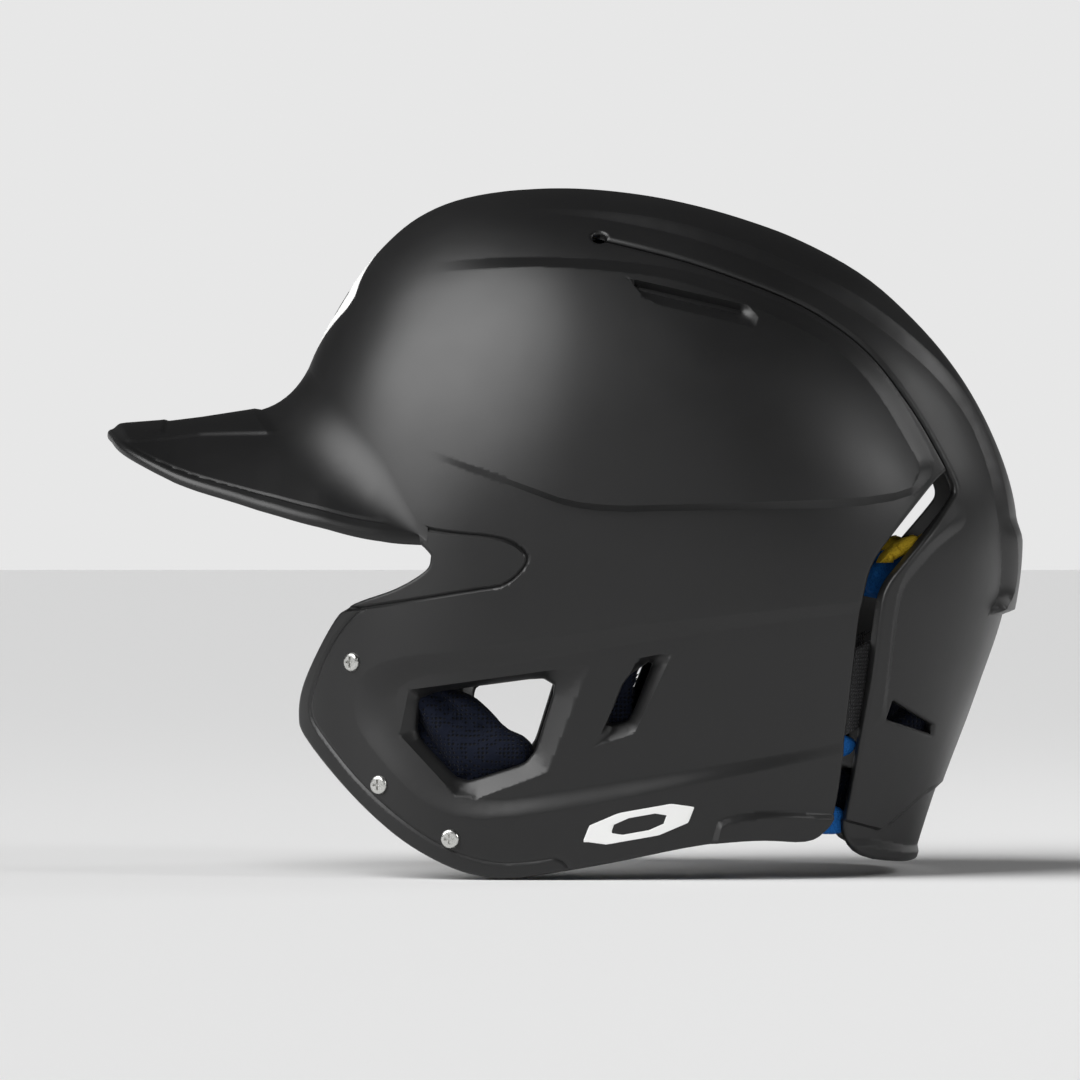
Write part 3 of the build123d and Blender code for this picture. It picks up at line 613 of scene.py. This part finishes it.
def bill_profile(angle):
    """One closed profile, as (distance, height) pairs, in a plan direction from the fan point."""
    away = abs(math.degrees(angle))
    rim = spline_row(BILL_RIM, away)
    cos, sin = math.cos(angle), math.sin(angle)

    def top(r):
        return float(bill_height(BILL_CENTRE - r * cos, r * sin))

    def relief(r):
        return float(bill_relief(BILL_CENTRE - r * cos, abs(r * sin), rim - r, away))

    # where the bill's top meets the skin
    z = 150.0
    for _ in range(30):
        z = 0.5 * z + 0.5 * top(ray_radius(angle, z))
    join = ray_radius(angle, z)
    reach = max(rim - join, 0.4)
    # the root sweeps from the skin, up above the join, out onto the bill
    up = min(17 - 5 * away / BILL_END, 4 + reach * 0.6)
    out = min(14.0, reach * 0.55)
    start = np.array([ray_radius(angle, z + up), z + up])
    bend = np.array([join, z])
    finish = np.array([join + out, top(join + out)])
    points = [(1 - t) ** 2 * start + 2 * t * (1 - t) * bend + t * t * finish
              for t in np.linspace(0, 1, 13)[:-1]]
    points += [(r, top(r) + relief(r)) for r in np.linspace(join + out, rim - TOP_RADIUS, 80)]
    # the rim's two rounded edges
    crest = top(rim - TOP_RADIUS)
    slope = (top(rim) - crest) / TOP_RADIUS
    foot = crest + slope * TOP_RADIUS - BILL_THICK
    turn = np.linspace(0, math.pi / 2, 6)
    points += [(rim - TOP_RADIUS + TOP_RADIUS * math.sin(t),
                crest - TOP_RADIUS * (1 - math.cos(t)) + slope * TOP_RADIUS * math.sin(t)) for t in turn[1:]]
    points += [(rim - UNDER_RADIUS + UNDER_RADIUS * math.cos(t), foot + UNDER_RADIUS * (1 - math.sin(t)))
               for t in turn]
    # the underside, back into the wall
    for r in np.linspace(rim - UNDER_RADIUS, max(join - BILL_SOCKET, 10), 18)[1:]:
        under = top(r) - BILL_THICK
        points.append((r, min(under, foot) if r > rim - 1.6 else under))
    points.append((start[0] - BILL_SOCKET, z + up))
    return np.array(points)


def make_bill():
    rings = []
    for angle in np.radians(np.linspace(-BILL_END, BILL_END, BILL_PROFILES)):
        p = bill_profile(angle)
        x, y = BILL_CENTRE - p[:, 0] * math.cos(angle), p[:, 0] * math.sin(angle)
        rings.append(np.stack([x, y, p[:, 1]], 1))
    rings = np.array(rings)
    n, m, _ = rings.shape
    i, j = np.meshgrid(np.arange(n - 1), np.arange(m), indexing="ij")
    k = (j + 1) % m
    quads = np.stack([i * m + j, i * m + k, (i + 1) * m + k, (i + 1) * m + j], -1).reshape(-1, 4)
    ends = [list(range(m)), list(range((n - 1) * m, n * m))[::-1]]
    return rings.reshape(-1, 3), quads.tolist() + ends


# ---------------------------------------------------------------- materials
def put(tree, node, **inputs):
    """Set a node's inputs, named with _ for a space: an output is linked, anything else is a value."""
    for name, value in inputs.items():
        place = node.inputs[name.replace("_", " ")]
        if isinstance(value, bpy.types.NodeSocket):
            tree.links.new(value, place)
        else:
            place.default_value = value
    return node


def add(tree, kind, **inputs):
    return put(tree, tree.nodes.new(kind), **inputs)


def new_material(name, color, roughness, metallic=0.0):
    """Material, its node tree, its shader and the output that gives places in metres."""
    material = bpy.data.materials.new(name)
    material.use_nodes = True
    tree = material.node_tree
    shader = tree.nodes["Principled BSDF"]
    put(tree, shader, Base_Color=(*color, 1), Roughness=roughness, Metallic=metallic)
    return material, tree, shader, add(tree, "ShaderNodeTexCoord").outputs["Object"]


def noise(tree, place, scale, detail=2.0):
    return add(tree, "ShaderNodeTexNoise", Vector=place, Scale=scale, Detail=detail).outputs["Fac"]


def remap(tree, value, low, high, start=0.3, stop=0.7):
    """Goes from low to high as value goes from start to stop."""
    node = add(tree, "ShaderNodeMapRange", Value=value, To_Min=low, To_Max=high)
    return put(tree, node, From_Min=start, From_Max=stop).outputs["Result"]


def bump(tree, shader, height, distance, strength, before=None):
    """Bump on the shader's normal, on top of the one before; gives its normal."""
    node = add(tree, "ShaderNodeBump", Height=height, Distance=distance, Strength=strength)
    if before is not None:
        put(tree, node, Normal=before)
    put(tree, shader, Normal=node.outputs["Normal"])
    return node.outputs["Normal"]


def shade(tree, shader, value, dark, light):
    """Base colour from dark to light by value."""
    mix = add(tree, "ShaderNodeMix")
    mix.data_type = "RGBA"
    put(tree, mix, A=(*dark, 1), B=(*light, 1), Factor=value)
    put(tree, shader, Base_Color=mix.outputs["Result"])


def toned(color, by):
    return tuple(c * by for c in color)


def plastic(name, color, roughness, grain=0.12):
    """Moulded plastic with a fine spark-eroded grain and faint handling marks."""
    material, tree, shader, place = new_material(name, color, roughness)
    marks = noise(tree, place, 26, 5)
    put(tree, shader, Roughness=remap(tree, marks, roughness - 0.035, roughness + 0.045))
    patches = remap(tree, noise(tree, place, 9, 3), 0, 1)
    shade(tree, shader, patches, toned(color, 0.9), toned(color, 1.1))
    bump(tree, shader, noise(tree, place, 2600, 1), 0.00012, grain)
    return material


def foam(name, color, cell=1500):
    """Closed-cell foam: fine pores, with painted shade that darkens the colour down in each pore."""
    material, tree, shader, place = new_material(name, color, 0.85)
    put(tree, shader, Specular_IOR_Level=0.2)
    cells = add(tree, "ShaderNodeTexVoronoi", Vector=place, Scale=cell).outputs["Distance"]
    coarse = bump(tree, shader, noise(tree, place, 160, 4), 0.0008, 0.35)
    bump(tree, shader, cells, 0.0004, 0.6, coarse)
    # painted shade: the colour darkens towards the bottom of each pore, where the same cells press the
    # surface in
    shade(tree, shader, remap(tree, cells, 0, 1, 0, 0.6), toned(color, 0.72), color)
    return material


def mesh_fabric(name, dark, light, pitch):
    """Knitted mesh: rows of small round holes over a darker backing, with soft creases."""
    material, tree, shader, place = new_material(name, light, 0.8)
    put(tree, shader, Specular_IOR_Level=0.15, Sheen_Weight=0.04, Sheen_Roughness=0.45)
    holes = add(tree, "ShaderNodeTexVoronoi", Vector=place, Scale=pitch, Randomness=0.12)
    edge = remap(tree, holes.outputs["Distance"], 0, 1, 0.22, 0.42)
    shade(tree, shader, edge, dark, light)
    creases = bump(tree, shader, noise(tree, place, 70, 3), 0.004, 0.55)
    bump(tree, shader, edge, 0.0005, 0.8, creases)
    return material


def webbing(name, dark, light):
    """Woven elastic: fine ribs one way and threads the other."""
    material, tree, shader, place = new_material(name, light, 0.7)
    put(tree, shader, Sheen_Weight=0.2)
    weave = add(tree, "ShaderNodeMath")
    weave.operation = "MULTIPLY"
    for factor, direction, scale, distortion in zip(weave.inputs, "ZX", (260, 420), (0.6, 0.4)):
        threads = add(tree, "ShaderNodeTexWave", Vector=place, Scale=scale, Distortion=distortion)
        threads.bands_direction = direction
        tree.links.new(threads.outputs["Fac"], factor)
    shade(tree, shader, weave.outputs["Value"], dark, light)
    bump(tree, shader, weave.outputs["Value"], 0.0004, 0.8)
    return material


def steel(name, color):
    """Bright steel with fine scratches."""
    material, tree, shader, place = new_material(name, color, 0.27, 1.0)
    put(tree, shader, Roughness=remap(tree, noise(tree, place, 900, 3), 0.2, 0.38))
    bump(tree, shader, noise(tree, place, 1800, 2), 0.00006, 0.4)
    return material


def ink(name, color):
    """Slightly uneven print."""
    material, tree, shader, place = new_material(name, color, 0.5)
    bump(tree, shader, noise(tree, place, 2200, 1), 0.00005, 0.25)
    return material


SHELL = plastic("shell_plastic", (0.0062, 0.0062, 0.0064), 0.4)
HARD = plastic("hard_plastic", (0.012, 0.012, 0.0125), 0.36, 0.2)
STEEL = steel("screw_steel", (0.62, 0.62, 0.60))
OCHRE = foam("ochre_foam", (0.52, 0.35, 0.02))
BLUE = foam("blue_foam", (0.008, 0.105, 0.36))
NAVY = mesh_fabric("navy_mesh", (0.0006, 0.001, 0.0025), (0.0027, 0.0048, 0.0135), 720)
WEB = webbing("elastic_web", (0.006, 0.006, 0.007), (0.022, 0.022, 0.024))
PRINT = ink("white_print", (0.88, 0.88, 0.87))


# ---------------------------------------------------------------- shells
def near_detail(reach):
    """Picks the places close to a shell's edge or to a line of one of its features."""
    def picked(verts):
        near = np.abs(front_field(verts)) < reach * 0.8
        near |= np.abs(rear_field(verts)) < reach * 0.8
        for feature in dict.fromkeys(FRONT_FEATURES + REAR_FEATURES):
            for value in feature.apart(verts):
                near |= np.abs(value) < reach
        return near
    return picked


PAD_GRID = skin_grid(3.2)
GRID = skin_grid(3.8)
for reach in (4.2, 1.9):
    GRID = refine(*GRID, near_detail(reach))
SHELL_EDGE = 1.15       # radius of the shells' edges
HARD_SHARP = 40         # edges over this many degrees stay sharp on the shells and the prints
SOFT_SHARP = 60


def even_seam_normals(mesh, on_seam, out):
    """The skin's own direction along the crown's joint, so that shell and spine read as one moulding."""
    normals = np.empty((len(mesh.loops), 3), np.float32)
    mesh.corner_normals.foreach_get("vector", normals.reshape(-1))
    corner = np.empty(len(mesh.loops), np.int32)
    mesh.loops.foreach_get("vertex_index", corner)
    total = np.empty(len(mesh.polygons), np.int32)
    mesh.polygons.foreach_get("loop_total", total)
    n = len(on_seam)
    on = np.zeros(len(mesh.vertices), bool)
    on[:n] = on_seam
    along_skin = np.abs((normals * out[np.minimum(corner, n - 1)]).sum(1)) > 0.97
    pick = np.repeat(total == 3, total) & on[corner] & along_skin
    normals[pick] = out[corner[pick]]
    mesh.normals_split_custom_set(normals.tolist())


def shell(name, node, field, seam, features, bill=None):
    """One of the two mouldings; the bill's closed form is joined into the front one."""
    points, tris, quads, on_seam, out = solid_layer(
        GRID, field, lambda v: 0, lambda v: WALL, SHELL_EDGE, features, seam)
    faces = [*tris, *quads]
    if bill is not None:
        bill_points, bill_faces = bill
        faces += [[k + len(points) for k in face] for face in bill_faces]
        points = np.vstack([points, bill_points])
    obj = make_piece(name, node, points, faces, HARD_SHARP, SHELL)
    even_seam_normals(obj.data, on_seam, out)
    return obj


front_shell = shell("helmet_shell", "front_shell", front_field, front_seam, FRONT_FEATURES, make_bill())
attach(front_shell, "front")
rear_shell = shell("rear_spine", "rear_shell", rear_field, rear_seam, REAR_FEATURES)
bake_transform(rear_shell)


# ---------------------------------------------------------------- pads and straps
def side_shape(points, side, holes=()):
    """Outline seen from the side, on one side of the helmet, 3 mm or more from the middle plane."""
    outline = rounded(points, 2)

    def field(verts):
        u, v = verts[:, 0], verts[:, 2]
        apart = region(outline, u, v)
        for hole in holes:
            apart = np.maximum(apart, -region(hole, u, v))
        return np.maximum(apart, 3 - verts[:, 1] * side)
    return field


def front_shape(points):
    """Outline seen from the front, on the skin ahead of the crown's middle."""
    outline = rounded(points, 2)
    return lambda verts: np.maximum(region(outline, verts[:, 1], verts[:, 2]), verts[:, 0] + 24)


def oval(cx, cy, rx, ry, count=48):
    turn = np.linspace(0, 2 * math.pi, count, endpoint=False)
    return np.stack([cx + rx * np.cos(turn), cy + ry * np.sin(turn)], 1)


def crown_shape(rx, ry):
    """Oval seen from above, about the crown's middle."""
    outline = oval(0, 0, rx, ry)
    return lambda verts: np.where(verts[:, 2] > CROWN_Z, region(outline, verts[:, 0], verts[:, 1]), FAR)


def nape_shape(points, start=96):
    """Outline seen from the side, right round the back, behind an x."""
    outline = rounded(points, 2)
    return lambda verts: np.maximum(region(outline, verts[:, 0], verts[:, 2]), start - verts[:, 0])


def rear_shape(points, side, gap):
    """The same on one side only, a gap away from the middle plane."""
    whole = nape_shape(points, 90)
    return lambda verts: np.maximum(whole(verts), gap - verts[:, 1] * side)


def soft_piece(name, node, field, layer, look, crown=0.0, spread=14.0, wrinkle=0.0, fold=0.0):
    """Soft layer under the skin. Its inner face swells by crown, eased in over spread, and wrinkles a little;
    fold draws long creases into its outer face."""
    near, far, radius = layer
    middle = (near + far) / 2
    verts, tris = PAD_GRID
    verts = verts.copy()
    verts[:, :3] -= verts[:, 3:6] * middle

    def inner(verts):
        swell = crown * smooth(-field(verts) / spread)
        x, y, z = verts[:, :3].T
        wave = np.sin(x * 0.21 + z * 0.13) * np.sin(z * 0.27 - y * 0.11)
        return far - middle + swell + wrinkle * wave * smooth(-field(verts) / 8)

    def outer(verts):
        x, z = verts[:, 0], verts[:, 2]
        ridge = np.abs(np.sin(x * 0.105 + z * 0.17 + np.sin(x * 0.15)))
        return near - middle + fold * (0.5 - ridge) * smooth(-field(verts) / 5)

    points, tris, quads, *_ = solid_layer((verts, tris), field, outer, inner, radius)
    return make_piece(name, node, points, [*tris, *quads], SOFT_SHARP, look)


def pad(name, node, body, *shape, **swell):
    piece = soft_piece(name, node, *shape, **swell)
    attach(piece, body)


# depth of the outer face under the skin, depth of the inner one, and the edges' radius
FIRM = (3.8, 10.6, 2.4)
COMFORT = (10.8, 16.2, 2.6)
SIDE_COMFORT = (10.8, 16.0, 2.6)
BACKING = (3.8, 8.8, 2.0)
EAR_PAD = (9.0, 14.4, 2.6)
NAPE_PAD = (3.8, 13.0, 3.6)
JAW_PAD = (9.0, 17.2, 3.6)
STRAP = (3.85, 5.35, 0.5)

FOREHEAD_FOAM = [(-56, 141), (0, 158), (56, 141), (58, 175), (0, 188), (-58, 175)]
FOREHEAD_CUSHION = [(-52, 145), (0, 161), (52, 145), (54, 172), (0, 184), (-54, 172)]
SIDE_FOAM = [(-30, 114), (-31, 134), (-24, 155), (10, 166), (50, 165), (78, 156), (91, 142), (96, 126),
             (94, 110), (78, 99), (40, 97), (-10, 100)]
SIDE_CUSHION = [(-26, 117), (-27, 133), (-20, 152), (11, 162), (49, 161), (76, 152), (87, 140), (92, 126),
                (90, 112), (76, 103), (40, 101), (-9, 104)]
REAR_FOAM = [(103.6, 101.2), (101.6, 103.8), (110.6, 110.6), (114.5, 110.8), (117, 108), (125, 113),
             (136, 126), (136, 134), (127, 147), (160, 149), (160, 86), (122, 92), (116, 105.5), (110.5, 105)]
REAR_CUSHION = [(98.6, 88), (98.4, 100), (103, 104.6), (113, 107), (121, 108), (137, 124), (139, 134),
                (132, 144), (160, 146), (160, 89)]
EAR_CUSHION = [(-46, 90), (0, 91), (74, 92), (73, 66), (73, 36), (95, 36), (93, 18), (80, 15), (40, 15),
               (-10, 12)]
EAR_BACKING = [(-46, 90), (0, 91), (74, 92), (73, 66), (73, 48), (93.5, 46.4), (95.6, 41), (84, 37), (84, 24),
               (91.5, 22), (91.5, 13.5), (80, 14), (40, 15), (-10, 12)]
# what the ear pads leave open: the ear hole, what lies below and ahead of it, and the slot
EAR_FRONT = [(-64, 2), (-8, 2), (-8, 58), (-64, 58)]
EAR_ROOM = [oval(-18, 52, 28, 26), np.array(EAR_FRONT, float),
            rounded([(21.6, 55), (23, 65), (27, 74), (36, 76), (29, 58), (24.5, 50)], 2)]
BACKING_ROOM = [oval(-6, 50, 46, 28), np.array(EAR_FRONT, float),
                np.array([(12, 44), (18, 68), (26, 80), (44, 80), (34, 56), (26, 40)], float)]
STRAP_LINE = [(78.5, 38.5), (111, 58), (111, 84), (78.5, 64.5)]
NAPE_CUSHION = [(104, 28), (104, 49), (112, 53.5), (114, 60), (118, 72), (160, 73), (160, 19), (112, 18)]
JAW_CUSHION = [(-58, 84), (-70, 77), (-77, 63), (-78, 51), (-64, 33), (-48, 19), (-30, 11), (-14, 9),
               (-9.5, 20), (-9.5, 30), (-9.5, 42), (-13, 46), (-19, 48), (-24, 54), (-31, 60), (-45, 63),
               (-48, 78)]

pad("forehead_foam", "forehead_pad_firm", "front", front_shape(FOREHEAD_FOAM), FIRM, OCHRE)
pad("forehead_cushion", "forehead_pad_comfort", "front", front_shape(FOREHEAD_CUSHION), COMFORT, NAVY,
    crown=1.6, wrinkle=0.35)
pad("crown_foam", "crown_pad_firm", "front", crown_shape(50, 34), FIRM, OCHRE)
pad("crown_cushion", "crown_pad_comfort", "front", crown_shape(44, 29), COMFORT, NAVY,
    crown=1.8, wrinkle=0.35)
for side, word in ((LEFT, "left"), (RIGHT, "right")):
    pad(f"side_foam_{word}", f"side_pad_{word}_firm", "front", side_shape(SIDE_FOAM, side), FIRM, OCHRE)
    pad(f"side_cushion_{word}", f"side_pad_{word}_comfort", "front", side_shape(SIDE_CUSHION, side),
        SIDE_COMFORT, NAVY, crown=1.8, wrinkle=0.4)
    pad(f"rear_foam_{word}", f"rear_pad_{word}_firm", "rear", rear_shape(REAR_FOAM, side, 4), FIRM, OCHRE)
    pad(f"rear_cushion_{word}", f"rear_pad_{word}_comfort", "rear", rear_shape(REAR_CUSHION, side, 8),
        COMFORT, BLUE, crown=1.2, wrinkle=0.3)
    pad(f"ear_backing_{word}", f"ear_foam_{word}", "front", side_shape(EAR_BACKING, side, BACKING_ROOM),
        BACKING, BLUE)
    pad(f"ear_cushion_{word}", f"ear_pad_{word}", "front", side_shape(EAR_CUSHION, side, EAR_ROOM),
        EAR_PAD, NAVY, crown=1.6, spread=9, wrinkle=0.5)
    strap = soft_piece(f"strap_web_{word}", f"strap_{word}", side_shape(STRAP_LINE, side), STRAP, WEB)
    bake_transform(strap)
pad("nape_cushion", "nape_pad", "rear", nape_shape(NAPE_CUSHION), NAPE_PAD, NAVY, crown=1.2, wrinkle=0.5)
pad("jaw_cushion", "jaw_pad", "front", side_shape(JAW_CUSHION, LEFT), JAW_PAD, NAVY,
    crown=2.2, spread=10, wrinkle=0.8, fold=5.5)


# ---------------------------------------------------------------- prints and screws
def ring_field(outer, inner, across, room):
    """Ring between two outlines, across being its level coordinate, where room is negative."""
    out, inn = rounded(outer, 1), rounded(inner, 1)

    def field(verts):
        u, v = verts[:, across], verts[:, 2]
        return np.maximum(np.maximum(region(out, u, v), -region(inn, u, v)), room(verts))
    return field


def emblem(name, node, field):
    """Thin print that stands a little proud of the shell."""
    grid = PAD_GRID
    for reach in (2.4, 1.2):
        grid = refine(*grid, lambda verts: np.abs(field(verts)) < reach)
    points, tris, quads, *_ = solid_layer(grid, field, lambda v: -0.12, lambda v: 0.3, 0.1)
    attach(make_piece(name, node, points, [*tris, *quads], HARD_SHARP, PRINT), "front")


BROW_RING = rounded([(27, 188), (0, 208), (-27, 188), (0, 168)], 3, cut=0.12)
BROW_HOLE = [(15.5, 188), (0, 199.5), (-15.5, 188), (0, 176.5)]
FLAP_RING = [(5, 9.5), (39, 15.5), (43, 25.7), (9, 19.7)]
FLAP_HOLE = [(14.5, 13.4), (31.5, 16.4), (33.5, 21.8), (16.5, 18.8)]
emblem("brow_emblem", "forehead_emblem", ring_field(BROW_RING, BROW_HOLE, 1, lambda verts: verts[:, 0] + 20))
emblem("flap_print", "flap_emblem", ring_field(FLAP_RING, FLAP_HOLE, 0, lambda verts: 3 - verts[:, 1] * LEFT))

for name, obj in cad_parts.items():
    if not obj.hide_render:
        for slot in obj.material_slots:
            slot.material = STEEL if "screw" in name or "nut" in name else HARD

# ---------------------------------------------------------------- floor, light and camera
bpy.ops.mesh.primitive_plane_add(size=60, location=(0, 0, float(cad_box[0][2]) - 0.0005))
floor = bpy.context.object
floor.name = "floor"
floor.data.materials.append(new_material("floor_pale", (0.78, 0.78, 0.78), 0.9)[0])


def add_light(data, place, away):
    """Light at a place, shining against the direction away."""
    light = bpy.data.objects.new(data.name, data)
    light.location = place
    light.rotation_euler = Vector(away).to_track_quat("Z", "Y").to_euler()
    bpy.context.scene.collection.objects.link(light)


def area_light(name, place, aim, size, power):
    data = bpy.data.lights.new(name, "AREA")
    data.shape = "RECTANGLE"
    data.size, data.size_y = size
    data.energy = power
    add_light(data, place, np.array(place) - np.array(aim))


def soft_sun(name, away, strength, angle):
    data = bpy.data.lights.new(name, "SUN")
    data.energy = strength
    data.angle = math.radians(angle)
    add_light(data, (0, 0, 0), away)


soft_sun("overhead", (-0.64, -0.34, 0.7), 3.9, 56)
area_light("front_fill", (0.1, -2.8, 1.1), (0, 0, 0.1), (1.6, 1.0), 3.5)
area_light("rear_kick", (1.35, 0.6, 0.9), (0.1, 0, 0.13), (0.45, 0.45), 2.4)
area_light("right_fill", (1.9, -1.0, 1.15), (0.05, 0, 0.13), (0.7, 0.7), 10)

# the background is bright up to just over the horizon, and dim above, so that the crown stays dark
world = bpy.data.worlds.new("studio")
world.use_nodes = True
sky = world.node_tree
direction = add(sky, "ShaderNodeTexCoord").outputs["Generated"]
height = add(sky, "ShaderNodeSeparateXYZ", Vector=direction).outputs["Z"]
put(sky, sky.nodes["Background"], Color=(1, 1, 1, 1), Strength=remap(sky, height, 0.8, 0.03, 0.065, 0.12))
bpy.context.scene.world = world
bpy.context.scene.view_settings.view_transform = "Standard"

# a long lens, level and side-on
camera_data = bpy.data.cameras.new("camera")
camera_data.type = "PERSP"
camera_data.lens = 300
camera_data.sensor_width = 36
camera_data.clip_start, camera_data.clip_end = 0.1, 100
camera = bpy.data.objects.new("camera", camera_data)
camera.location = (-0.00792, -3.0, 0.1094)
camera.rotation_euler = (math.pi / 2, 0, 0)
bpy.context.scene.collection.objects.link(camera)
bpy.context.scene.camera = camera
